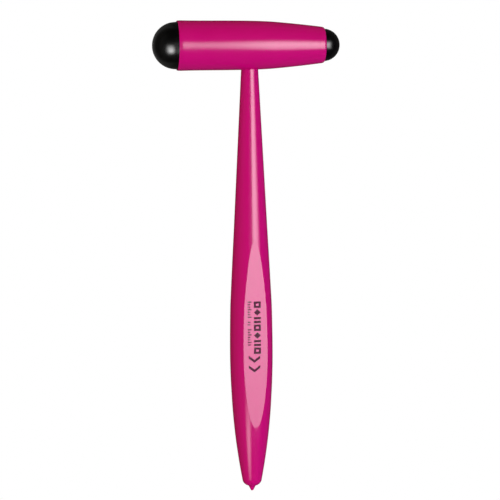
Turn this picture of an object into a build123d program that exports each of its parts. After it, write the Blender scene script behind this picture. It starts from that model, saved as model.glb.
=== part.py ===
from build123d import *
import math
import os

# Reflex hammer, millimetres. It lies on its back: X runs along the head, +Y towards the head's side,
# +Z out of the handle's flat facet. The origin is under the middle of the bounding box.

# Head, as distances along its axis from the handle's axis, with radii
BARREL_R = 10.95
LIP_START = -30.9
BARREL_END = -19.0
LARGE_MOUTH = -32.06
LARGE_LIP_R = 10.35
SMALL_MOUTH = 32.96
SMALL_LIP_R = 7.2
TAPER = [(-9.4, 10.85), (0.0, 10.71), (8.3, 10.41), (13.6, 9.98), (18.9, 9.47), (24.2, 8.91), (31.3, 8.06)]
TAPER_END = (1.0, -0.13)
MOUTH_BEVEL = 0.3

# Sockets and rubber tips
LARGE_BORE_R = 8.6
LARGE_PLUG = 14.0
LARGE_CORE_R = 5.0
LARGE_DOME_R = 10.33
LARGE_DOME_X = -32.6
SMALL_BORE_R = 5.6
SMALL_BORE_END = 20.0
SMALL_PLUG = 12.0
SMALL_CORE_R = 3.0
SMALL_DOME_R = 7.13
SMALL_DOME_X = 32.7
PLUG_GAP = 0.03
PLUG_FLOOR = 3.0
PLUG_BEVEL = 0.8
GROOVE_DEPTH = 0.35
GROOVE_WIDTH = 1.2
GROOVES = (0.3, 0.5, 0.7)

# Handle, as (radius, distance down from the head's axis)
NECK_TOP = 7.7
CONE_START = (3.69, 9.6)
CONE_END = (9.03, 113.0)
BELLY = (9.34, 132.9)
HANDLE_END = (4.16, 190.5)
NIB_END = 195.0
NECK_FIT = 0.02
FACET_OUT = 7.6
FACET_TWIST = 6.5
FACET_MID = 125.0
FACET_CUT = 120.0
WALL = 2.0
NECK_BORE_R = 2.15
CAVITY_TOP = 62.2
CAVITY_LOW = (4.2, 178.0)
CAP_BORE_R = 2.95
CAP_BORE_TOP = 180.5
CAP_SPIGOT = 8.0
CAP_BEVEL = 0.4
PIN_SPOTS = (76.0, 118.0, 160.0)
PIN_R = 1.2
PIN_FIT = 0.05
PIN_LENGTH = 2.5
BOSS_R = 2.3

# Weight, stud, washer and nut
WEIGHT_R = 8.55
WEIGHT_HALF = 7.0
WEIGHT_BEVEL = 0.5
WEIGHT_STOP_R = 8.2
SPOT_FACE_R = 4.0
STUD_R = 2.0
STUD_FIT = 0.02
STUD_TOP = -3.5
STUD_END = 64.0
STUD_BEVEL = 0.4
WASHER_R = 4.5
WASHER_T = 0.8
NUT_FLATS = 7.0
NUT_T = 3.2
POCKET_GAP = 0.1
SEAT = CAVITY_TOP - NUT_T - WASHER_T

# Where the head's axis and the handle's axis cross
CROSS = (
    (LARGE_DOME_R - LARGE_DOME_X - SMALL_DOME_R - SMALL_DOME_X) / 2,
    (NIB_END - BARREL_R) / 2,
    BARREL_R,
)
TWIST_C = math.cos(math.radians(FACET_TWIST))
TWIST_S = math.sin(math.radians(FACET_TWIST))

HEAD = Plane(origin=CROSS, x_dir=(1, 0, 0), z_dir=(0, 0, 1))
HEAD_AXIS = Axis(CROSS, (1, 0, 0))
HANDLE = Plane(origin=CROSS, x_dir=(TWIST_C, 0, -TWIST_S), z_dir=(TWIST_S, 0, TWIST_C))
HANDLE_AXIS = Axis(CROSS, (0, 1, 0))
DOWN = Plane(origin=CROSS, x_dir=(TWIST_C, 0, -TWIST_S), z_dir=(0, -1, 0))


def below(point):
    """A (radius, distance down) pair as a point of the HANDLE plane."""
    return (point[0], -point[1])


def handle_r(v):
    """The handle's outer radius at distance v below the head's axis."""
    if v < CONE_END[1]:
        slope = (CONE_END[0] - CONE_START[0]) / (CONE_END[1] - CONE_START[1])
        return CONE_START[0] + slope * (v - CONE_START[1])
    end = CONE_END if v < BELLY[1] else HANDLE_END
    reach = (v - BELLY[1]) / (end[1] - BELLY[1])
    return BELLY[0] - (BELLY[0] - end[0]) * reach**2


def save(part, label):
    part.label = label
    export_step(part, "parts/" + label + ".step")


os.makedirs("parts", exist_ok=True)

# Head shell: a moulded barrel, open at both ends, with a hole in its side for the neck
with BuildPart() as head_shell:
    with BuildSketch(HEAD):
        with BuildLine():
            Line((LARGE_MOUTH, LARGE_BORE_R + MOUTH_BEVEL), (LARGE_MOUTH, LARGE_LIP_R))
            TangentArc((LIP_START, BARREL_R), (LARGE_MOUTH, LARGE_LIP_R), tangent=(-1, 0))
            Line((LIP_START, BARREL_R), (BARREL_END, BARREL_R))
            Spline([(BARREL_END, BARREL_R)] + TAPER, tangents=[(1, 0), TAPER_END])
            TangentArc(TAPER[-1], (SMALL_MOUTH, SMALL_LIP_R), tangent=TAPER_END)
            Polyline(
                (SMALL_MOUTH, SMALL_LIP_R),
                (SMALL_MOUTH, SMALL_BORE_R + MOUTH_BEVEL),
                (SMALL_MOUTH - MOUTH_BEVEL, SMALL_BORE_R),
                (SMALL_BORE_END, SMALL_BORE_R),
                (SMALL_BORE_END - 1, SMALL_BORE_R + 1),
                (WEIGHT_HALF, WEIGHT_STOP_R),
                (WEIGHT_HALF, LARGE_BORE_R),
                (LARGE_MOUTH + MOUTH_BEVEL, LARGE_BORE_R),
                (LARGE_MOUTH, LARGE_BORE_R + MOUTH_BEVEL),
            )
        make_face()
    revolve(axis=HEAD_AXIS)
    with BuildSketch(DOWN):
        Circle(handle_r(BARREL_R) + NECK_FIT)
    extrude(amount=BARREL_R + 2, mode=Mode.SUBTRACT)
save(head_shell.part, "head_shell")


def rubber_tip(side, mouth, dome_x, dome_r, bore_r, plug, core_r, label):
    """A solid rubber dome with a grooved, cored plug. side is -1 for the large tip and +1 for the small one."""
    plug_r = bore_r - PLUG_GAP
    plug_end = mouth - side * plug
    core_end = mouth - side * PLUG_FLOOR
    arc_x = side * max(side * mouth, side * dome_x)
    arc_r = math.sqrt(dome_r**2 - (arc_x - dome_x) ** 2)
    bow = dome_r * math.sqrt(0.5)
    with BuildPart() as tip:
        with BuildSketch(HEAD):
            with BuildLine():
                ThreePointArc((arc_x, arc_r), (dome_x + side * bow, bow), (dome_x + side * dome_r, 0))
                Polyline(
                    (dome_x + side * dome_r, 0),
                    (core_end, 0),
                    (core_end, core_r - 1),
                    (core_end - side, core_r),
                    (plug_end, core_r),
                    (plug_end, plug_r - PLUG_BEVEL),
                    (plug_end + side * PLUG_BEVEL, plug_r),
                    (mouth, plug_r),
                    (mouth, arc_r),
                )
                if arc_x != mouth:
                    Line((mouth, arc_r), (arc_x, arc_r))
            make_face()
            with Locations(*[(plug_end + side * plug * t, plug_r) for t in GROOVES]):
                Rectangle(GROOVE_WIDTH, 2 * GROOVE_DEPTH, mode=Mode.SUBTRACT)
        revolve(axis=HEAD_AXIS)
    save(tip.part, label)


rubber_tip(
    -1,
    LARGE_MOUTH,
    LARGE_DOME_X,
    LARGE_DOME_R,
    LARGE_BORE_R,
    LARGE_PLUG,
    LARGE_CORE_R,
    "large_percussion_tip",
)
rubber_tip(
    1,
    SMALL_MOUTH,
    SMALL_DOME_X,
    SMALL_DOME_R,
    SMALL_BORE_R,
    SMALL_PLUG,
    SMALL_CORE_R,
    "small_percussion_tip",
)

# Head weight: a steel slug with a spot face and a cross hole for the stud
with BuildPart() as head_weight:
    with BuildSketch(HEAD):
        with BuildLine():
            Polyline(
                (-WEIGHT_HALF, 0),
                (-WEIGHT_HALF, WEIGHT_R - WEIGHT_BEVEL),
                (-WEIGHT_HALF + WEIGHT_BEVEL, WEIGHT_R),
                (WEIGHT_HALF - WEIGHT_BEVEL, WEIGHT_R),
                (WEIGHT_HALF, WEIGHT_R - WEIGHT_BEVEL),
                (WEIGHT_HALF, 0),
                close=True,
            )
        make_face()
    revolve(axis=HEAD_AXIS)
    with BuildSketch(DOWN.offset(NECK_TOP)):
        Circle(SPOT_FACE_R)
    extrude(amount=WEIGHT_R - NECK_TOP, mode=Mode.SUBTRACT)
    with BuildSketch(DOWN.offset(STUD_TOP - STUD_BEVEL)):
        Circle(STUD_R + STUD_FIT)
    extrude(amount=WEIGHT_R - STUD_TOP, mode=Mode.SUBTRACT)
save(head_weight.part, "head_weight")

# Tie stud: runs from the weight through the neck to the nut
with BuildPart() as tie_stud:
    with BuildSketch(DOWN.offset(STUD_TOP)):
        Circle(STUD_R)
    extrude(amount=STUD_END - STUD_TOP)
    chamfer(tie_stud.edges().filter_by(GeomType.CIRCLE), STUD_BEVEL)
save(tie_stud.part, "tie_stud")

# Washer on its seat at the bottom of the neck
with BuildPart() as nut_washer:
    with BuildSketch(DOWN.offset(SEAT)):
        Circle(WASHER_R)
        Circle(NECK_BORE_R, mode=Mode.SUBTRACT)
    extrude(amount=WASHER_T)
save(nut_washer.part, "nut_washer")

# Hex nut, with two flats parallel to the plane that parts the handle
with BuildPart() as captive_nut:
    with BuildSketch(DOWN.offset(SEAT + WASHER_T)):
        RegularPolygon(NUT_FLATS / 2, 6, major_radius=False, rotation=30)
        Circle(STUD_R + STUD_FIT, mode=Mode.SUBTRACT)
    extrude(amount=NUT_T)
save(captive_nut.part, "captive_nut")

# Space inside the handle: a long cavity, a pocket for nut and washer, and a bore for the stud
with BuildPart() as handle_space:
    with BuildSketch(HANDLE):
        with BuildLine():
            cone_inside = below((CONE_END[0] - WALL, CONE_END[1]))
            belly_inside = below((BELLY[0] - WALL, BELLY[1]))
            Polyline((0, -CAVITY_TOP), (handle_r(CAVITY_TOP) - WALL, -CAVITY_TOP), cone_inside)
            TangentArc(belly_inside, cone_inside, tangent=(0, 1))
            TangentArc(belly_inside, below(CAVITY_LOW), tangent=(0, -1))
            Polyline(
                below(CAVITY_LOW),
                (CAP_BORE_R, -CAP_BORE_TOP),
                (CAP_BORE_R, -NIB_END),
                (0, -NIB_END),
                (0, -CAVITY_TOP),
            )
        make_face()
    revolve(axis=HANDLE_AXIS)
    with BuildSketch(HANDLE.offset(FACET_OUT - WALL)):
        with Locations((0, -FACET_MID)):
            Rectangle(4 * BELLY[0], FACET_CUT)
    extrude(amount=BELLY[0], mode=Mode.SUBTRACT)
    with BuildSketch(DOWN.offset(SEAT + WASHER_T)):
        RegularPolygon((NUT_FLATS + POCKET_GAP) / 2, 6, major_radius=False, rotation=30)
    extrude(amount=NUT_T)
    with BuildSketch(DOWN.offset(SEAT)):
        Circle(WASHER_R + POCKET_GAP)
    extrude(amount=WASHER_T)
    with BuildSketch(DOWN):
        Circle(NECK_BORE_R)
    extrude(amount=SEAT)


def handle_half(keep, side, label):
    """Half of the handle, split through its axis. side is +1 for the half with the facet and the pins."""
    with BuildPart() as half:
        with BuildSketch(HANDLE):
            with BuildLine():
                Polyline(
                    (0, -NECK_TOP),
                    (CONE_START[0], -NECK_TOP),
                    below(CONE_START),
                    below(CONE_END),
                )
                TangentArc(below(BELLY), below(CONE_END), tangent=(0, 1))
                TangentArc(below(BELLY), below(HANDLE_END), tangent=(0, -1))
                Polyline(below(HANDLE_END), (0, -HANDLE_END[1]), (0, -NECK_TOP))
            make_face()
        revolve(axis=HANDLE_AXIS)
        with BuildSketch(HANDLE.offset(FACET_OUT)):
            with Locations((0, -FACET_MID)):
                Rectangle(4 * BELLY[0], FACET_CUT)
        extrude(amount=BELLY[0], mode=Mode.SUBTRACT)
        add(handle_space.part, mode=Mode.SUBTRACT)
        split(bisect_by=HANDLE, keep=keep)
        for v in PIN_SPOTS:
            wall_mid = handle_r(v) - WALL / 2
            reach = min(wall_mid, FACET_OUT - WALL / 2) if side > 0 else wall_mid
            with BuildSketch(HANDLE):
                with Locations((0, -v)):
                    Circle(BOSS_R)
            extrude(amount=side * reach)
        pin_places = [(0, -v) for v in PIN_SPOTS]
        if side > 0:
            with BuildSketch(HANDLE.offset(-PIN_LENGTH)):
                with Locations(*pin_places):
                    Circle(PIN_R)
            extrude(amount=PIN_LENGTH + 1)
        else:
            with BuildSketch(HANDLE.offset(-PIN_LENGTH - 10 * PIN_FIT)):
                with Locations(*pin_places):
                    Circle(PIN_R + PIN_FIT)
            extrude(amount=PIN_LENGTH + 1, mode=Mode.SUBTRACT)
    save(half.part, label)


handle_half(Keep.TOP, 1, "handle_front_shell")
handle_half(Keep.BOTTOM, -1, "handle_back_shell")

# Stimulus tip: the end cap, with a round shoulder and a blunt conical nib
SHOULDER = [(3.59, 191.6), (2.4, 192.55)]
NIB_BASE = (1.55, 192.85)
NIB_TIP = (0.55, 194.7)
NIB_BLEND = 0.5
with BuildPart() as stimulus_tip:
    with BuildSketch(HANDLE) as cap_section:
        with BuildLine():
            spigot_r = CAP_BORE_R - PLUG_GAP
            spigot_top = HANDLE_END[1] - CAP_SPIGOT
            Polyline(
                (0, -spigot_top),
                (spigot_r - CAP_BEVEL, -spigot_top),
                (spigot_r, -spigot_top - CAP_BEVEL),
                (spigot_r, -HANDLE_END[1]),
                below(HANDLE_END),
            )
            ThreePointArc(below(HANDLE_END), below(SHOULDER[0]), below(SHOULDER[1]))
            Polyline(below(SHOULDER[1]), below(NIB_BASE), below(NIB_TIP))
            TangentArc((0, -NIB_END), below(NIB_TIP), tangent=(1, 0))
            Line((0, -NIB_END), (0, -spigot_top))
        make_face()
        corner = HANDLE.from_local_coords((NIB_BASE[0], -NIB_BASE[1], 0))
        fillet(cap_section.vertices().sort_by_distance(corner)[0], NIB_BLEND)
    revolve(axis=HANDLE_AXIS)
save(stimulus_tip.part, "stimulus_tip")
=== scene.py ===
"""The reflex hammer's looks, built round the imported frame. Metres; profile sizes are millimetres times MM."""
import bpy
import math
from mathutils import Matrix, Vector


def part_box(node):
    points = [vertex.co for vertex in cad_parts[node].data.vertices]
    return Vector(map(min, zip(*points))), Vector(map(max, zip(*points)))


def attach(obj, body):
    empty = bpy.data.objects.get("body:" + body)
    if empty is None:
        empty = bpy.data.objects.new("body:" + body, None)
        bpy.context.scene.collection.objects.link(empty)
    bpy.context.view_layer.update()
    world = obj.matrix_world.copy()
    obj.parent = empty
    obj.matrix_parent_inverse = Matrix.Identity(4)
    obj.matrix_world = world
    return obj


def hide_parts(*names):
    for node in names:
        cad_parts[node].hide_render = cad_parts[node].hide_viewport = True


MM = 0.001
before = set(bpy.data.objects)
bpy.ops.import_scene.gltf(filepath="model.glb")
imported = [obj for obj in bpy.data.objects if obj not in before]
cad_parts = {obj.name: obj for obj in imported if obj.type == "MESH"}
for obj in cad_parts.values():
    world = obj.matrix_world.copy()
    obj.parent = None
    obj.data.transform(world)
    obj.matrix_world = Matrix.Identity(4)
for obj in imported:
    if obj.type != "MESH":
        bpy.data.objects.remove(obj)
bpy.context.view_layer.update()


# ---------------------------------------------------------------- the frame's places

def centre(node):
    """The middle of a CAD node's box."""
    low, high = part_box(node)
    return (low + high) / 2


# The head's axis and the handle's axis cross here
CROSS = Vector((centre("tie_stud").x, centre("head_shell").y, centre("head_shell").z))
HEAD_LOW, HEAD_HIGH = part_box("head_shell")
BARREL_R = (HEAD_HIGH.y - HEAD_LOW.y) / 2
LARGE_MOUTH = CROSS.x - HEAD_LOW.x
SMALL_MOUTH = HEAD_HIGH.x - CROSS.x
LARGE_END = CROSS.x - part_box("large_percussion_tip")[0].x
SMALL_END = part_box("small_percussion_tip")[1].x - CROSS.x
NIB_END = CROSS.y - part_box("stimulus_tip")[0].y
HANDLE_END = CROSS.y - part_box("handle_back_shell")[0].y
NECK_TOP = CROSS.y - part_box("handle_back_shell")[1].y

# Handle, as radius and distance down from the head's axis
CONE_START = (3.69 * MM, 9.6 * MM)
CONE_END = (9.03 * MM, 113.0 * MM)
BELLY = (9.34 * MM, 132.9 * MM)
END_R = 4.16 * MM

# The neck is a little slimmer just under the barrel
NECK_EASE = 0.3 * MM
NECK_EASE_END = 10.5 * MM
NECK_EASE_FADE = 0.45 * MM

# Inside: a close bore round the stud above CAVITY_TOP, a hollow with WALL round it below
WALL = 2.0 * MM
NECK_BORE_R = 2.15 * MM
CAP_BORE_R = 2.95 * MM
CAVITY_TOP = 62.2 * MM
SPIGOT = 8.0 * MM

# The flat: its distance from the axis, its rise near the lower end, and the stretch that holds it
FACET_OUT = 7.6 * MM
FACET_RISE = 0.06 * MM
FACET_RISE_FROM, FACET_RISE_OVER = 150 * MM, 16 * MM
FACET_ROWS = (78 * MM, 174 * MM)
FACET_TWIST = math.radians(6.5)
CREASE_R = 0.3 * MM

SEAM_DEPTH = 0.07 * MM
SEAM_HALF = 0.11 * MM

FACET_NORMAL = Vector((math.sin(FACET_TWIST), 0, math.cos(FACET_TWIST)))
FACET_SIDE = Vector((math.cos(FACET_TWIST), 0, -math.sin(FACET_TWIST)))
DOWN = Vector((0, -1, 0))


# ---------------------------------------------------------------- mesh helpers

def add_mesh(name, verts, faces, sharp=35):
    """A smooth-shaded object in the scene, with edges sharper than the angle sharp left crisp."""
    mesh = bpy.data.meshes.new(name)
    mesh.from_pydata(verts, [], faces)
    mesh.validate()
    for p in mesh.polygons:
        p.use_smooth = True
    mesh.set_sharp_from_angle(angle=math.radians(sharp))
    obj = bpy.data.objects.new(name, mesh)
    bpy.context.collection.objects.link(obj)
    return obj


def rounded(points, steps=5):
    """A profile with its corners rounded: each point is (along, radius, corner radius)."""
    out = []
    last = len(points) - 1
    for i, (x, y, r) in enumerate(points):
        here = Vector((x, y))
        if r == 0 or i in (0, last):
            out.append(here)
            continue
        before = (Vector(points[i - 1][:2]) - here).normalized()
        after = (Vector(points[i + 1][:2]) - here).normalized()
        half = before.angle(after) / 2
        reach = r / math.tan(half)
        mid = (before + after).normalized()
        hub = here + mid * (r / math.sin(half))
        start = here + before * reach - hub
        turn = (here + after * reach - hub).angle_signed(start)
        for k in range(steps + 1):
            out.append(hub + Matrix.Rotation(turn * k / steps, 2) @ start)
    return out


def arc(hub, r, start, end, steps):
    """Points on a circle from angle start to end, in degrees, hub and result as (along, radius)."""
    turns = [math.radians(start + (end - start) * k / steps) for k in range(steps + 1)]
    return [Vector((hub[0] + r * math.cos(t), hub[1] + r * math.sin(t))) for t in turns]


def lathe(name, profile, segments=256, offset=None):
    """A turned solid about the head's axis.

    profile holds (along, radius) points, and runs from end to end or closes on itself.
    """
    closed = (profile[0] - profile[-1]).length < 1e-9
    rows = profile[:-1] if closed else profile
    verts, index = [], []
    for along, r in rows:
        if r < 1e-7:
            verts.append(CROSS + Vector((along, 0, 0)))
            index.append([len(verts) - 1] * segments)
            continue
        ring = []
        for s in range(segments):
            t = 2 * math.pi * s / segments
            rr = r + (offset(along, r, t) if offset else 0)
            verts.append(CROSS + Vector((along, rr * math.cos(t), rr * math.sin(t))))
            ring.append(len(verts) - 1)
        index.append(ring)
    faces = []
    count = len(rows)
    for i in range(count if closed else count - 1):
        a, b = index[i], index[(i + 1) % count]
        for s in range(segments):
            n = (s + 1) % segments
            face = [a[s], b[s], b[n], a[n]]
            face = [v for k, v in enumerate(face) if v != face[k - 1]]
            faces.append(face[::-1])
    return add_mesh(name, verts, faces)


def smooth_curve(points, start_slope, end_slope, steps):
    """A smooth curve through (along, radius) points: cubic spans with slopes from their neighbours."""
    slopes = [start_slope]
    for i in range(1, len(points) - 1):
        before = (points[i][1] - points[i - 1][1]) / (points[i][0] - points[i - 1][0])
        after = (points[i + 1][1] - points[i][1]) / (points[i + 1][0] - points[i][0])
        slopes.append((before + after) / 2)
    slopes.append(end_slope)
    out = []
    for i in range(len(points) - 1):
        (x0, y0), (x1, y1) = points[i], points[i + 1]
        w = x1 - x0
        for k in range(steps):
            t = k / steps
            h = (2 * t**3 - 3 * t**2 + 1) * y0 + (t**3 - 2 * t**2 + t) * w * slopes[i]
            h += (3 * t**2 - 2 * t**3) * y1 + (t**3 - t**2) * w * slopes[i + 1]
            out.append(Vector((x0 + w * t, h)))
    out.append(Vector(points[-1]))
    return out


# ---------------------------------------------------------------- head

BORE_L, BORE_S = 8.6 * MM, 5.6 * MM
LIP_SETBACK = 0.33 * MM
LIP_FACE = LARGE_MOUTH - LIP_SETBACK
LIP_R = 10.91 * MM
RIDGE, RIDGE_HALF = 0.03 * MM, 0.2 * MM
WEIGHT_HALF = (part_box("head_weight")[1].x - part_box("head_weight")[0].x) / 2


def head_outline():
    """The barrel's wall, from the large lip over the outside to the small lip and back through the bores."""
    lip_start, lip_r = -30.2 * MM, 10.8 * MM
    taper_end, taper_end_r = 31.3 * MM, 7.98 * MM
    fall, reach = LIP_R - lip_r, LIP_FACE + lip_start
    lip_radius = (fall**2 + reach**2) / (2 * fall)
    sweep = math.degrees(2 * math.atan(fall / reach))
    points = arc((lip_start, LIP_R - lip_radius), lip_radius, 90 + sweep, 90, 12)
    taper = [(-26.0, 10.83), (-20.0, 10.785), (-9.0, 10.74), (0.0, 10.625), (8.3, 10.32)]
    taper += [(13.6, 9.9), (18.9, 9.39), (24.2, 8.83)]
    taper = [(lip_start, LIP_R)] + [(x * MM, r * MM) for x, r in taper] + [(taper_end, taper_end_r)]
    points += smooth_curve(taper, -0.02, -0.13, 6)[1:]
    small_lip = rounded(
        [
            (taper_end, taper_end_r, 0),
            (32.85 * MM, 7.76 * MM, 1.1 * MM),
            (SMALL_MOUTH, 6.9 * MM, 0.1 * MM),
            (SMALL_MOUTH, BORE_S, 0.25 * MM),
            (20.0 * MM, BORE_S, 0),
            (19.0 * MM, 6.6 * MM, 0),
            (WEIGHT_HALF, 8.2 * MM, 0),
            (WEIGHT_HALF, BORE_L, 0),
            (-LIP_FACE, BORE_L, 0.25 * MM),
            (-LIP_FACE, 10.6 * MM, 0),
        ],
        8,
    )
    points += small_lip[1:] + [points[0].copy()]
    return points


def parting_ridge(along, r, turn):
    """A fine moulded witness line where the two mould halves met, on the head's top and underside."""
    if r < BORE_L + 0.5 * MM and along < 0 or r < BORE_S + 0.9 * MM:
        return 0.0
    side = abs(math.sin(turn)) * r
    return RIDGE * max(0.0, 1 - side / RIDGE_HALF)


head = lathe("head_barrel", head_outline(), 360, parting_ridge)
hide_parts("head_shell")
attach(head, "hammer")


# ---------------------------------------------------------------- rubber tips

PLUG_GAP = 0.03 * MM
GROOVE_PLACES = (0.7, 0.5, 0.3)
GROOVE_HALF, GROOVE_DEPTH = 0.6 * MM, 0.35 * MM
SKIRT_GAP = 0.02 * MM
SKIRT_FLARE = 0.09

# How much shorter the domes are than in the CAD
LARGE_SHORTER, SMALL_SHORTER = 0.35 * MM, 0.15 * MM


def tip_outline(side, mouth, end, dome_r, bore_r, plug, core_r):
    """Dome, skirt and grooved plug as (along, radius), from pole to core; side is +1 or -1."""
    hub = end - dome_r
    plug_r = bore_r - PLUG_GAP
    skirt_top = max(mouth + 0.1 * MM, hub + 0.6 * MM)
    bottom = math.degrees(math.acos(max(0.0, min(1.0, (skirt_top - hub) / dome_r))))
    points = arc((hub, 0), dome_r, 0, bottom, 48)
    edge_r = points[-1].y
    flare = (skirt_top - mouth) * SKIRT_FLARE
    flash = [
        (points[-1].x, edge_r, 0),
        (mouth + SKIRT_GAP, edge_r + flare, 0),
        (mouth + SKIRT_GAP, plug_r, 0.2 * MM),
    ]
    grooves = []
    for t in GROOVE_PLACES:
        spot = mouth - plug + plug * t
        grooves += [
            (spot + GROOVE_HALF, plug_r, 0.15 * MM),
            (spot + GROOVE_HALF, plug_r - GROOVE_DEPTH, 0.12 * MM),
            (spot - GROOVE_HALF, plug_r - GROOVE_DEPTH, 0.12 * MM),
            (spot - GROOVE_HALF, plug_r, 0.15 * MM),
        ]
    inner = [
        (mouth - plug + 0.8 * MM, plug_r, 0.3 * MM),
        (mouth - plug, plug_r - 0.8 * MM, 0.3 * MM),
        (mouth - plug, core_r, 0.3 * MM),
        (mouth - 4.0 * MM, core_r, 0.2 * MM),
        (mouth - 3.0 * MM, core_r - 1.0 * MM, 0.3 * MM),
        (mouth - 3.0 * MM, 0, 0),
    ]
    points += rounded(flash + grooves + inner, 4)[1:]
    points = [Vector((side * p.x, p.y)) for p in points]
    return points if side > 0 else points[::-1]


large_outline = tip_outline(
    side=-1,
    mouth=LIP_FACE,
    end=LARGE_END - LARGE_SHORTER,
    dome_r=10.25 * MM,
    bore_r=BORE_L,
    plug=13.67 * MM,
    core_r=5.0 * MM,
)
large_tip = lathe("large_rubber_tip", large_outline)
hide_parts("large_percussion_tip")
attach(large_tip, "large_tip")
small_outline = tip_outline(
    side=1,
    mouth=SMALL_MOUTH,
    end=SMALL_END - SMALL_SHORTER,
    dome_r=7.08 * MM,
    bore_r=BORE_S,
    plug=12.0 * MM,
    core_r=3.0 * MM,
)
small_tip = lathe("small_rubber_tip", small_outline)
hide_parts("small_percussion_tip")
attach(small_tip, "small_tip")


# ---------------------------------------------------------------- handle

# Each as (middle, half length, height)
SWELLINGS = ((101 * MM, 20 * MM, 0.05 * MM), (171 * MM, 19 * MM, 0.11 * MM))
END_BEVEL, END_BEVEL_RUN = 0.08 * MM, 0.2 * MM


def swell(v):
    """How far two slight swellings of the moulding lift the skin at distance v down."""
    extra = 0.0
    for middle, half, height in SWELLINGS:
        extra += height * max(0.0, 1 - ((v - middle) / half) ** 2)
    return extra


def handle_r(v):
    """The handle's radius at distance v down: a cone, then two arcs that meet at the belly."""
    if v <= CONE_START[1]:
        return CONE_START[0] - NECK_EASE
    if v <= CONE_END[1]:
        t = (v - CONE_START[1]) / (CONE_END[1] - CONE_START[1])
        ease = NECK_EASE * min(1.0, max(0.0, (NECK_EASE_END - v) / NECK_EASE_FADE))
        return CONE_START[0] + (CONE_END[0] - CONE_START[0]) * t + swell(v) - ease
    end_r, end_v = (CONE_END[0], CONE_END[1]) if v < BELLY[1] else (END_R, HANDLE_END)
    drop, run = BELLY[0] - end_r, end_v - BELLY[1]
    bow = (drop**2 + run**2) / (2 * drop)
    return BELLY[0] - bow + math.sqrt(bow**2 - (v - BELLY[1]) ** 2) + swell(v)


def facet_out(v):
    """Distance from the handle's axis to the flat, which lies a hair further out near its lower end."""
    t = min(1.0, max(0.0, (v - FACET_RISE_FROM) / FACET_RISE_OVER))
    return FACET_OUT + FACET_RISE * t * t


def crease(r, flat):
    """Angles from the facet's normal where the flat ends and where the round part starts."""
    if r <= flat:
        return 0.0, 0.0
    hub = math.sqrt(max(0.0, (r - CREASE_R) ** 2 - (flat - CREASE_R) ** 2))
    return math.atan2(hub, flat), math.atan2(hub, flat - CREASE_R)


def section_r(r, turn, flat):
    """Distance from the handle's axis to its skin, at an angle from the facet's normal."""
    flat_end, round_start = crease(r, flat)
    t = abs(turn)
    if r <= flat or t >= round_start:
        return r
    if t <= flat_end:
        return flat / math.cos(t)
    hub_x = math.sqrt((r - CREASE_R) ** 2 - (flat - CREASE_R) ** 2)
    hub_y = flat - CREASE_R
    across = hub_x * math.sin(t) + hub_y * math.cos(t)
    return across + math.sqrt(max(0.0, across**2 - hub_x**2 - hub_y**2 + CREASE_R**2))


def spread(start, end, count):
    """Evenly spaced values from start to end, both included, count steps apart."""
    return [start + (end - start) * k / count for k in range(count + 1)]


def front_turns(r, flat):
    """Column angles across the front half, bunched at the facet's edges and at the seam."""
    flat_end, round_start = crease(r, flat)
    flat_end = max(flat_end, math.radians(2.0))
    round_start = max(round_start, flat_end + math.radians(1.5))
    seam = [math.pi / 2 - d / r for d in (0.0, SEAM_HALF / 2, SEAM_HALF, 2.5 * SEAM_HALF)]
    half = spread(0, flat_end, 10)[1:]
    half += spread(flat_end, round_start, 6)[1:]
    half += spread(round_start, seam[-1], 30)[1:]
    half += seam[-2::-1]
    return [-t for t in half[::-1]] + [0.0] + half


def back_turns(r, flat):
    """Column angles across the back half, from one seam to the other."""
    seam = [d / r for d in (0.0, SEAM_HALF / 2, SEAM_HALF, 2.5 * SEAM_HALF)]
    middle = spread(seam[-1], math.pi - seam[-1], 72)[1:-1]
    turns = seam + middle + [math.pi - t for t in seam[::-1]]
    return [math.pi / 2 + t for t in turns]


def on_handle(v, r, turn):
    """The place at distance v down the handle, r out from its axis, at an angle from the facet's normal."""
    return CROSS + DOWN * v + (FACET_NORMAL * math.cos(turn) + FACET_SIDE * math.sin(turn)) * r


def handle_rows():
    """Distances down at which the handle's mesh has a ring, closest together along the facet."""
    rows = [NECK_TOP, CONE_START[1], NECK_EASE_END - NECK_EASE_FADE]
    rows += spread(NECK_EASE_END, FACET_ROWS[0], 24)
    rows += spread(*FACET_ROWS, 128)[1:]
    rows += spread(FACET_ROWS[1], HANDLE_END - 0.5 * MM, 18)[1:]
    rows += [HANDLE_END - d * MM for d in (0.2, 0.1, 0.04, 0.0)]
    return rows


def shell_faces(outer, inner):
    """Faces of a closed half shell: skin, inside, the rims along both seams and the rims at both ends."""
    faces = []
    last = len(outer[0]) - 1
    for a, b, c, d in zip(outer, outer[1:], inner, inner[1:]):
        for k in range(last):
            faces.append([a[k], a[k + 1], b[k + 1], b[k]])
            faces.append([c[k + 1], c[k], d[k], d[k + 1]])
        faces.append([a[0], b[0], d[0], c[0]])
        faces.append([b[last], a[last], c[last], d[last]])
    for k in range(last):
        faces.append([outer[0][k + 1], outer[0][k], inner[0][k], inner[0][k + 1]])
        faces.append([outer[-1][k], outer[-1][k + 1], inner[-1][k + 1], inner[-1][k]])
    return faces


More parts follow.
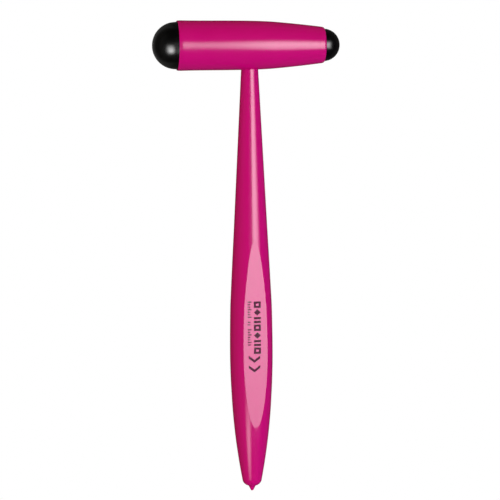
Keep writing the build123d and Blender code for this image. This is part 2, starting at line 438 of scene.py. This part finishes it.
def handle_half(name, turns_at):
    """A moulded half shell: skin, inside face and the rims between them."""
    outer, inner, verts = [], [], []
    for v in handle_rows():
        r = handle_r(v)
        end_bevel = END_BEVEL * max(0.0, 1 - (HANDLE_END - v) / END_BEVEL_RUN)
        bore = NECK_BORE_R if v < CAVITY_TOP else CAP_BORE_R
        ring_out, ring_in = [], []
        flat = facet_out(v)
        for turn in turns_at(r, flat):
            skin = section_r(r, turn, flat)
            gap = abs(abs(math.remainder(turn, math.pi)) - math.pi / 2) * r
            seam = SEAM_DEPTH * max(0.0, 1 - gap / SEAM_HALF)
            ring_out.append(len(verts))
            verts.append(on_handle(v, skin - seam - end_bevel, turn))
            ring_in.append(len(verts))
            verts.append(on_handle(v, max(bore, skin - WALL), turn))
        outer.append(ring_out)
        inner.append(ring_in)
    return add_mesh(name, verts, shell_faces(outer, inner), 30)


front = handle_half("handle_front", front_turns)
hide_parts("handle_front_shell")
back = handle_half("handle_back", back_turns)
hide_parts("handle_back_shell")


def turned_down(name, profile, segments=144):
    """A turned solid about the handle's axis; profile as (distance down, radius), from axis to axis."""
    verts, index, faces = [], [], []
    for v, r in profile:
        if r < 1e-7:
            verts.append(on_handle(v, 0, 0))
            index.append([len(verts) - 1] * segments)
            continue
        index.append([len(verts) + s for s in range(segments)])
        verts += [on_handle(v, r, 2 * math.pi * s / segments) for s in range(segments)]
    for a, b in zip(index, index[1:]):
        for s in range(segments):
            n = (s + 1) % segments
            face = [a[s], a[n], b[n], b[s]]
            faces.append([x for k, x in enumerate(face) if x != face[k - 1]])
    return add_mesh(name, verts, faces, 40)


def arc_through(points, steps):
    """The arc through three points, as points from the first to the last."""
    (x0, y0), (x1, y1), (x2, y2) = points
    d = 2 * (x0 * (y1 - y2) + x1 * (y2 - y0) + x2 * (y0 - y1))
    s0, s1, s2 = x0**2 + y0**2, x1**2 + y1**2, x2**2 + y2**2
    hub_x = (s0 * (y1 - y2) + s1 * (y2 - y0) + s2 * (y0 - y1)) / d
    hub_y = (s0 * (x2 - x1) + s1 * (x0 - x2) + s2 * (x1 - x0)) / d
    start = math.degrees(math.atan2(y0 - hub_y, x0 - hub_x))
    end = math.degrees(math.atan2(y2 - hub_y, x2 - hub_x))
    return arc((hub_x, hub_y), math.hypot(x0 - hub_x, y0 - hub_y), start, end, steps)


# The shoulder's arc, as (distance down, radius) in millimetres
SHOULDER = ((190.62, 4.135), (191.6, 3.59), (192.55, 2.4))


def nib_outline():
    """Spigot, round shoulder and blunt nib, from the spigot's end to the nib's tip."""
    spigot_r = CAP_BORE_R - PLUG_GAP
    points = rounded(
        [
            (HANDLE_END - SPIGOT, 0, 0),
            (HANDLE_END - SPIGOT, spigot_r, 0.4 * MM),
            (HANDLE_END, spigot_r, 0),
            (HANDLE_END, END_R - END_BEVEL, 0),
            (HANDLE_END + 0.12 * MM, END_R - 0.01 * MM, 0),
        ]
    )
    points += [p * MM for p in arc_through(SHOULDER, 14)][1:]
    nib = rounded(
        [
            (SHOULDER[-1][0] * MM, SHOULDER[-1][1] * MM, 0),
            (192.85 * MM, 1.55 * MM, 0.55 * MM),
            (194.95 * MM, 0.48 * MM, 0.45 * MM),
            (NIB_END, 0, 0),
        ],
        8,
    )
    return points + nib[1:]


nib = turned_down("handle_nib", nib_outline())
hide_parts("stimulus_tip")
for piece in (front, back, nib):
    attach(piece, "hammer")


# ---------------------------------------------------------------- print on the facet

INK_T = 0.02 * MM
PRINT_START = 111.3 * MM

# The bold row: f is a frame, d a diamond, b a pair of bars
BOLD_ROW = "fdbfdbf"
BOLD_U, BOLD_HALF_U, BOLD_HALF_V = 0.87 * MM, 1.55 * MM, 1.4 * MM
BOLD_PITCH = 3.35 * MM
FRAME_STROKE = 0.92 * MM
BAR_APART, BAR_HALF = 0.82 * MM, 0.5 * MM

# The fine row: long and short ticks, with gaps
TICK_ROW = "lsslssl ss lslssls"
TICK_HALVES = {"l": 0.85 * MM, "s": 0.6 * MM}
TICK_U, TICK_FIRST, TICK_PITCH, TICK_HALF_V = -3.45 * MM, 0.2 * MM, 1.1 * MM, 0.24 * MM

CHEVRON_U = -0.5 * MM
CHEVRON_PLACES = (23.6 * MM, 27.8 * MM)
CHEVRON_HALF_U, CHEVRON_POINT, CHEVRON_STROKE = 2.6 * MM, 1.9 * MM, 1.25 * MM


def on_facet(u, v, lift):
    """The place on the facet's flat, u to its side and v down the handle, raised by lift."""
    return CROSS + DOWN * v + FACET_SIDE * u + FACET_NORMAL * (FACET_OUT + lift)


def plate(verts, faces, outline):
    """Adds one printed patch as a thin closed plate; outline runs round it as (u, v) points."""
    base, n = len(verts), len(outline)
    for lift in (0.0, INK_T):
        verts += [on_facet(u, v, lift) for u, v in outline]
    faces += [[base + k, base + (k + 1) % n, base + n + (k + 1) % n, base + n + k] for k in range(n)]
    faces.append([base + n + k for k in range(n)])
    faces.append([base + k for k in range(n)][::-1])


def bar(verts, faces, u, v, half_u, half_v):
    """A printed rectangle about (u, v)."""
    left, right, low, high = u - half_u, u + half_u, v - half_v, v + half_v
    plate(verts, faces, [(right, high), (left, high), (left, low), (right, low)])


def cell(verts, faces, u, v, half_u, half_v, stroke):
    """Four bars round an empty middle."""
    inner = half_u - stroke
    for side in (-1, 1):
        bar(verts, faces, u + side * (half_u - stroke / 2), v, stroke / 2, half_v)
        bar(verts, faces, u, v + side * (half_v - stroke / 2), inner, stroke / 2)


def chevron(verts, faces, u, v, half_u, point, stroke):
    """A bent bar that points down the handle."""
    outline = [(u - half_u, v), (u, v + point), (u + half_u, v)]
    plate(verts, faces, outline + [(a, b + stroke) for a, b in outline[::-1]])


def diamond(verts, faces, u, v, half_u, half_v):
    """A printed diamond about (u, v)."""
    plate(verts, faces, [(u - half_u, v), (u, v - half_v), (u + half_u, v), (u, v + half_v)])


def printed_marks():
    """Plain stand-ins where the maker's print would be: bold shapes, a fine row of ticks and two chevrons."""
    verts, faces = [], []
    for place, kind in enumerate(BOLD_ROW):
        v = PRINT_START + BOLD_HALF_V + place * BOLD_PITCH
        if kind == "f":
            cell(verts, faces, BOLD_U, v, BOLD_HALF_U, BOLD_HALF_V, FRAME_STROKE)
        elif kind == "d":
            diamond(verts, faces, BOLD_U, v, BOLD_HALF_U, BOLD_HALF_V)
        else:
            for side in (-1, 1):
                bar(verts, faces, BOLD_U, v + side * BAR_APART, BOLD_HALF_U, BAR_HALF)
    for place, size in enumerate(TICK_ROW):
        if size in TICK_HALVES:
            half = TICK_HALVES[size]
            v = PRINT_START + TICK_FIRST + TICK_PITCH * place
            bar(verts, faces, TICK_U + half, v, half, TICK_HALF_V)
    for start in CHEVRON_PLACES:
        v = PRINT_START + start
        chevron(verts, faces, CHEVRON_U, v, CHEVRON_HALF_U, CHEVRON_POINT, CHEVRON_STROKE)
    return add_mesh("facet_print", verts, faces, 30)


marks = printed_marks()
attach(marks, "hammer")


# ---------------------------------------------------------------- materials

class Shader:
    """A Principled material with short calls for its texture nodes."""

    def __init__(self, name, **inputs):
        self.material = bpy.data.materials.new(name)
        self.material.use_nodes = True
        self.tree = self.material.node_tree
        self.bsdf = next(n for n in self.tree.nodes if n.type == "BSDF_PRINCIPLED")
        self.place = self.tree.nodes.new("ShaderNodeTexCoord").outputs["Object"]
        for key, value in inputs.items():
            self.bsdf.inputs[key.replace("_", " ")].default_value = value

    def node(self, kind, links=None, **settings):
        made = self.tree.nodes.new(kind)
        for key, value in settings.items():
            if key in made.inputs:
                made.inputs[key].default_value = value
            else:
                setattr(made, key, value)
        for key, source in (links or {}).items():
            self.tree.links.new(source, made.inputs[key])
        return made

    def noise(self, size, detail=2.0, stretch=None):
        """Noise whose features are about size metres across."""
        place = self.place
        if stretch:
            place = self.node("ShaderNodeMapping", {"Vector": place}, Scale=stretch).outputs["Vector"]
        texture = self.node("ShaderNodeTexNoise", {"Vector": place}, Scale=1 / size, Detail=detail)
        return texture.outputs["Fac"]

    def blend(self, fac, a, b):
        """Colour or number between a at 0 and b at 1."""
        kind = "RGBA" if isinstance(b, tuple) else "FLOAT"
        mix = self.tree.nodes.new("ShaderNodeMix")
        mix.data_type = kind
        self.tree.links.new(fac, mix.inputs["Factor"])
        first, second, out = {"RGBA": (6, 7, 2), "FLOAT": (2, 3, 0)}[kind]
        for slot, value in ((first, a), (second, b)):
            if hasattr(value, "is_linked"):
                self.tree.links.new(value, mix.inputs[slot])
            else:
                mix.inputs[slot].default_value = value
        return mix.outputs[out]

    def ramp(self, source, low, high):
        """source mapped so that low becomes 0 and high becomes 1, clamped."""
        return self.node(
            "ShaderNodeMapRange", {"Value": source}, **{"From Min": low, "From Max": high}
        ).outputs["Result"]

    def bump(self, height, strength, depth, under=None):
        links = {"Height": height}
        if under:
            links["Normal"] = under
        return self.node("ShaderNodeBump", links, Strength=strength, Distance=depth).outputs["Normal"]

    def set(self, **links):
        for key, source in links.items():
            self.tree.links.new(source, self.bsdf.inputs[key.replace("_", " ")])


PINK = (0.515, 0.0015, 0.166, 1)
PINK_DEEP = (0.503, 0.0013, 0.160, 1)
BLACK = (0.0006, 0.0006, 0.0008, 1)
BLACK_BLOOM = (0.0014, 0.0014, 0.0016, 1)
BLACK_DUST = (0.004, 0.004, 0.0042, 1)
PLUM = (0.068, 0.008, 0.034, 1)
PLUM_PALE = (0.09, 0.014, 0.05, 1)
STEEL_GREY = (0.58, 0.58, 0.60, 1)
STEEL_PALE = (0.66, 0.66, 0.67, 1)


def plastic():
    """Moulded ABS: faint flow clouds, orange peel, a fine grain and hairline scratches."""
    s = Shader("pink_abs", IOR=1.5)
    clouds = s.ramp(s.noise(9 * MM, 3.0), 0.3, 0.7)
    flecks = s.ramp(s.noise(0.25 * MM, 1.0), 0.62, 0.75)
    s.set(Base_Color=s.blend(clouds, PINK, PINK_DEEP))
    smears = s.noise(5 * MM, 4.0, (1.0, 0.35, 1.0))
    scratches = s.ramp(s.noise(0.12 * MM, 2.0, (1.0, 0.04, 1.0)), 0.6, 0.8)
    rough = s.blend(s.ramp(smears, 0.3, 0.7), 0.13, 0.16)
    rough = s.blend(flecks, rough, 0.2)
    s.set(Roughness=rough)
    peel = s.bump(s.noise(1.1 * MM, 2.0), 0.25, 0.004 * MM)
    grain = s.bump(s.noise(0.16 * MM, 2.0), 0.3, 0.0012 * MM, peel)
    s.set(Normal=s.bump(scratches, 0.2, 0.0015 * MM, grain))
    return s.material


def rubber():
    """Black moulded rubber: a satin skin with fine mould grain and a little bloom."""
    s = Shader("black_rubber", IOR=1.55, Sheen_Weight=0.05, Sheen_Roughness=0.3)
    bloom = s.ramp(s.noise(3.5 * MM, 4.0), 0.35, 0.75)
    dust = s.ramp(s.noise(0.3 * MM, 1.0), 0.68, 0.78)
    s.set(Base_Color=s.blend(dust, s.blend(bloom, BLACK, BLACK_BLOOM), BLACK_DUST))
    s.set(Roughness=s.blend(bloom, 0.19, 0.24))
    grain = s.bump(s.noise(0.12 * MM, 3.0), 0.35, 0.002 * MM)
    s.set(Normal=s.bump(s.noise(0.9 * MM, 2.0), 0.25, 0.004 * MM, grain))
    return s.material


def ink():
    """Matt pad-printed ink, dark plum, a little uneven."""
    s = Shader("plum_ink", IOR=1.25)
    patches = s.ramp(s.noise(0.5 * MM, 3.0), 0.3, 0.7)
    s.set(Base_Color=s.blend(patches, PLUM, PLUM_PALE))
    s.set(Roughness=s.blend(patches, 0.62, 0.75))
    s.set(Normal=s.bump(s.noise(0.15 * MM, 2.0), 0.2, 0.002 * MM))
    return s.material


def steel():
    """Turned steel with fine tool marks."""
    s = Shader("turned_steel", Metallic=1.0)
    tint = s.ramp(s.noise(4 * MM, 3.0), 0.3, 0.7)
    s.set(Base_Color=s.blend(tint, STEEL_GREY, STEEL_PALE))
    marks_across = s.noise(0.12 * MM, 3.0, (0.08, 1.0, 1.0))
    s.set(Roughness=s.blend(s.ramp(marks_across, 0.3, 0.7), 0.24, 0.4))
    s.set(Normal=s.bump(marks_across, 0.3, 0.004 * MM))
    return s.material


def wear(obj, material):
    """Gives an object one material."""
    obj.data.materials.clear()
    obj.data.materials.append(material)


ABS, RUBBER, INK, STEEL = plastic(), rubber(), ink(), steel()
for piece in (head, front, back, nib):
    wear(piece, ABS)
for piece in (large_tip, small_tip):
    wear(piece, RUBBER)
wear(marks, INK)
for node in ("head_weight", "tie_stud", "nut_washer", "captive_nut"):
    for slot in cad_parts[node].material_slots:
        slot.material = STEEL


# ---------------------------------------------------------------- floor, surround and light

def by_ray(tree, felt, mirrored, seen):
    """One shader of three: felt lights the object, mirrored shows in reflections, seen is for the camera."""
    path = tree.nodes.new("ShaderNodeLightPath")
    shader = felt
    for flag, other in (("Is Glossy Ray", mirrored), ("Is Camera Ray", seen)):
        mix = tree.nodes.new("ShaderNodeMixShader")
        tree.links.new(path.outputs[flag], mix.inputs[0])
        tree.links.new(shader, mix.inputs[1])
        tree.links.new(other, mix.inputs[2])
        shader = mix.outputs[0]
    return shader


def map_range(tree, source, start, end, low, high):
    """source mapped so that start becomes low and end becomes high, clamped."""
    node = tree.nodes.new("ShaderNodeMapRange")
    for key, value in (("From Min", start), ("From Max", end), ("To Min", low), ("To Max", high)):
        node.inputs[key].default_value = value
    tree.links.new(source, node.inputs["Value"])
    return node.outputs["Result"]


def distance_in_x(tree, position, middle):
    """How far a position is from X = middle."""
    split = tree.nodes.new("ShaderNodeSeparateXYZ")
    tree.links.new(position, split.inputs[0])
    away = tree.nodes.new("ShaderNodeMath")
    away.operation = "SUBTRACT"
    away.inputs[1].default_value = middle
    tree.links.new(split.outputs["X"], away.inputs[0])
    apart = tree.nodes.new("ShaderNodeMath")
    apart.operation = "ABSOLUTE"
    tree.links.new(away.outputs[0], apart.inputs[0])
    return apart.outputs[0]


def facing(tree, place, direction):
    """How far a place on the surround lies towards a direction, from -1 to 1."""
    dot = tree.nodes.new("ShaderNodeVectorMath")
    dot.operation = "DOT_PRODUCT"
    dot.inputs[1].default_value = direction
    tree.links.new(place, dot.inputs[0])
    return dot.outputs["Value"]


WHITE = (1, 1, 1, 1)

# Colours of the light that the surround and the floor give
WARM_SIDE = (0.58, 0.45, 0.06, 1)
COOL_SIDE = (0.62, 0.60, 0.84, 1)
COOLER = (0.8, -0.6, 0.0)
LARGE_TIP_SIDE = (-1.0, 0.0, 0.0)
FLOOR_FELT = (0.58, 0.5, 0.36, 1)

# How bright both are in reflections; the floor's pair is beside the large tip's end and elsewhere
MIRRORED = 0.01
MIRRORED_LEFT = 0.085
LEFT_GLOW = (0.5, 0.92)
FLOOR_MIRRORED = (0.14, 0.035)
BY_THE_TIP = CROSS.x - 50 * MM
BY_THE_TIP_HALF = 15 * MM

FLOOR_HALF = 5.0
LEAN = (BARREL_R - BELLY[0]) / BELLY[1]


def floor_material():
    """White to the camera, a soft light below the object, dark in reflections and clear from underneath."""
    material = bpy.data.materials.new("pale_floor")
    material.use_nodes = True
    tree = material.node_tree
    tree.nodes.clear()
    felt, mirrored, seen = [tree.nodes.new("ShaderNodeEmission") for _ in range(3)]
    felt.inputs["Color"].default_value = FLOOR_FELT
    seen.inputs["Color"].default_value = WHITE
    geometry = tree.nodes.new("ShaderNodeNewGeometry")
    apart = distance_in_x(tree, geometry.outputs["Position"], BY_THE_TIP)
    level = map_range(tree, apart, 0.0, BY_THE_TIP_HALF, *FLOOR_MIRRORED)
    tree.links.new(level, mirrored.inputs["Strength"])
    sides = tree.nodes.new("ShaderNodeMixShader")
    tree.links.new(geometry.outputs["Backfacing"], sides.inputs[0])
    tree.links.new(by_ray(tree, felt.outputs[0], mirrored.outputs[0], seen.outputs[0]), sides.inputs[1])
    tree.links.new(tree.nodes.new("ShaderNodeBsdfTransparent").outputs[0], sides.inputs[2])
    out = tree.nodes.new("ShaderNodeOutputMaterial")
    tree.links.new(sides.outputs[0], out.inputs["Surface"])
    return material


def floor():
    """A plain floor that touches the barrel and the handle's belly, so it leans by a fraction of a degree."""
    foot = CROSS.z - BARREL_R
    verts = []
    for x, y in ((-1, -1), (1, -1), (1, 1), (-1, 1)):
        spot = CROSS.y + y * FLOOR_HALF
        verts.append((x * FLOOR_HALF, spot, foot + LEAN * (CROSS.y - spot)))
    obj = add_mesh("floor", verts, [[0, 1, 2, 3]])
    wear(obj, floor_material())


def surround():
    """The studio round the object: white to the eye, warm to cool as light, dark in reflections."""
    world = bpy.data.worlds.new("studio")
    bpy.context.scene.world = world
    world.use_nodes = True
    tree = world.node_tree
    tree.nodes.clear()
    felt, mirrored, seen = [tree.nodes.new("ShaderNodeBackground") for _ in range(3)]
    place = tree.nodes.new("ShaderNodeTexCoord").outputs["Generated"]
    tint = tree.nodes.new("ShaderNodeMix")
    tint.data_type = "RGBA"
    tree.links.new(map_range(tree, facing(tree, place, COOLER), -1.0, 1.0, 0.0, 1.0), tint.inputs["Factor"])
    tint.inputs[6].default_value = WARM_SIDE
    tint.inputs[7].default_value = COOL_SIDE
    tree.links.new(tint.outputs[2], felt.inputs["Color"])
    glow = map_range(tree, facing(tree, place, LARGE_TIP_SIDE), *LEFT_GLOW, MIRRORED, MIRRORED_LEFT)
    tree.links.new(glow, mirrored.inputs["Strength"])
    mirrored.inputs["Color"].default_value = WHITE
    seen.inputs["Color"].default_value = WHITE
    out = tree.nodes.new("ShaderNodeOutputWorld")
    shader = by_ray(tree, felt.outputs[0], mirrored.outputs[0], seen.outputs[0])
    tree.links.new(shader, out.inputs["Surface"])


# The camera looks down on the hammer, from a little to the large tip's side and a little past the head
VIEW_TURN = math.radians(7.6)
VIEW_TILT = math.radians(3.4)
VIEW_ROLL = math.radians(0.35)
VIEW_DISTANCE = 1.305
VIEW_LENS = 215.0
AIM = CROSS + Vector((-0.31 * MM, -89.27 * MM, 0))
TO_CAMERA = Vector(
    (
        -math.sin(VIEW_TURN) * math.cos(VIEW_TILT),
        math.sin(VIEW_TILT),
        math.cos(VIEW_TURN) * math.cos(VIEW_TILT),
    )
)
VIEW_RIGHT = Vector((math.cos(VIEW_TURN), 0, math.sin(VIEW_TURN)))
VIEW_UP = TO_CAMERA.cross(VIEW_RIGHT)


def camera():
    data = bpy.data.cameras.new("camera")
    data.lens = VIEW_LENS
    data.sensor_width = 36
    data.dof.use_dof = False
    obj = bpy.data.objects.new("camera", data)
    bpy.context.collection.objects.link(obj)
    turn = Matrix((VIEW_RIGHT, VIEW_UP, TO_CAMERA)).transposed().to_4x4()
    place = Matrix.Translation(AIM + TO_CAMERA * VIEW_DISTANCE)
    obj.matrix_world = place @ turn @ Matrix.Rotation(-VIEW_ROLL, 4, "Z")
    bpy.context.scene.camera = obj


def fill_ramp(ramp, profile):
    """Puts (place, level) pairs on a colour ramp, ends first so that they stay in order."""
    ramp.interpolation = "EASE"
    ramp.elements[0].position = profile[0][0]
    ramp.elements[1].position = profile[-1][0]
    for place, _ in profile[1:-1]:
        ramp.elements.new(place)
    for step, (_, level) in zip(ramp.elements, profile):
        step.color = (level, level, level, 1)


def grade(data, across, up, bow=0.0, middle=0.5):
    """Gives a panel's brightness a profile each way; bow rounds its upright edges about the height middle."""
    data.use_nodes = True
    tree = data.node_tree
    lamp = next(n for n in tree.nodes if n.type == "EMISSION")
    spot = tree.nodes.new("ShaderNodeNewGeometry").outputs["Parametric"]
    split = tree.nodes.new("ShaderNodeSeparateXYZ")
    tree.links.new(spot, split.inputs[0])
    height = split.outputs["Y"]
    for step, value in (("SUBTRACT", middle), ("POWER", 2.0), ("MULTIPLY", -bow)):
        math_node = tree.nodes.new("ShaderNodeMath")
        math_node.operation = step
        tree.links.new(height, math_node.inputs[0])
        math_node.inputs[1].default_value = value
        height = math_node.outputs[0]
    curved = tree.nodes.new("ShaderNodeMath")
    tree.links.new(height, curved.inputs[0])
    tree.links.new(split.outputs["X"], curved.inputs[1])
    both = tree.nodes.new("ShaderNodeMath")
    both.operation = "MULTIPLY"
    for slot, (place, profile) in enumerate(((curved.outputs[0], across), (split.outputs["Y"], up))):
        ramp = tree.nodes.new("ShaderNodeValToRGB")
        fill_ramp(ramp.color_ramp, profile)
        tree.links.new(place, ramp.inputs["Fac"])
        tree.links.new(ramp.outputs["Color"], both.inputs[slot])
    tree.links.new(both.outputs[0], lamp.inputs["Strength"])


def softbox(name, across, up, distance, width, height, radiance):
    """A lit panel that faces the handle's middle, placed by its angles from the camera's line, in degrees."""
    data = bpy.data.lights.new(name, "AREA")
    data.shape = "RECTANGLE"
    data.size = width
    data.size_y = height
    data.energy = radiance * width * height * math.pi
    obj = bpy.data.objects.new(name, data)
    bpy.context.collection.objects.link(obj)
    a, e = math.radians(across), math.radians(up)
    level = TO_CAMERA * math.cos(a) + VIEW_RIGHT * math.sin(a)
    out = level * math.cos(e) + VIEW_UP * math.sin(e)
    side = VIEW_UP.cross(out).normalized()
    turn = Matrix((side, out.cross(side), out)).transposed().to_4x4()
    obj.matrix_world = Matrix.Translation(AIM + out * distance) @ turn
    obj.visible_camera = False
    return obj


COOL_WHITE = (1.0, 1.0, 1.1)


def key_light():
    """Light that models the form but leaves no reflection."""
    key = softbox("key", across=12, up=-6, distance=1.5, width=1.0, height=1.0, radiance=4.5)
    key.data.color = COOL_WHITE
    key.visible_glossy = False


# Brightness profiles of the panels as (place, level). RIGHT_ACROSS is in metres from the middle.
BELL = [(0, 0), (0.2, 0.5), (0.38, 1), (0.62, 1), (0.8, 0.5), (1, 0)]
RIGHT_WIDTH = 0.96
RIGHT_BOW, RIGHT_MIDDLE = 1.15, 0.56
RIGHT_ACROSS = [(-0.335, 0), (-0.305, 0.34), (-0.28, 0.54), (-0.25, 0.6), (-0.21, 0.88), (-0.17, 0.96)]
RIGHT_ACROSS += [(-0.05, 1), (0.10, 0.96), (0.19, 0.66), (0.33, 0.2), (0.47, 0)]
RIGHT_UP = [(0.1, 0), (0.2, 0.1), (0.26, 0.43), (0.3, 0.62), (0.35, 0.73), (0.42, 0.82), (0.48, 0.91)]
RIGHT_UP += [(0.54, 1), (0.63, 0.98), (0.7, 0.8), (0.77, 0.5), (0.86, 0.12), (0.95, 0)]


def mirrored_boxes():
    """The softboxes seen as reflections; the last one lights the large rubber tip alone."""
    right = softbox("right_box", across=33, up=0, distance=0.75, width=RIGHT_WIDTH, height=1.0, radiance=8.3)
    across = [(0.5 + s / RIGHT_WIDTH, level) for s, level in RIGHT_ACROSS]
    grade(right.data, across, RIGHT_UP, RIGHT_BOW, RIGHT_MIDDLE)
    left = softbox("left_box", across=-23.3, up=-26.6, distance=1.575, width=1.1, height=0.64, radiance=4.7)
    grade(left.data, BELL, BELL)
    low = softbox("tip_box", across=-24.5, up=-18.3, distance=0.995, width=0.9, height=0.92, radiance=9.6)
    grade(low.data, BELL, BELL)
    lit = bpy.data.collections.new("tip_only")
    lit.objects.link(large_tip)
    low.light_linking.receiver_collection = lit
    for box in (right, left, low):
        box.visible_diffuse = False


floor()
surround()
camera()
key_light()
mirrored_boxes()
scene = bpy.context.scene
scene.view_settings.view_transform = "Standard"
scene.view_settings.look = "None"
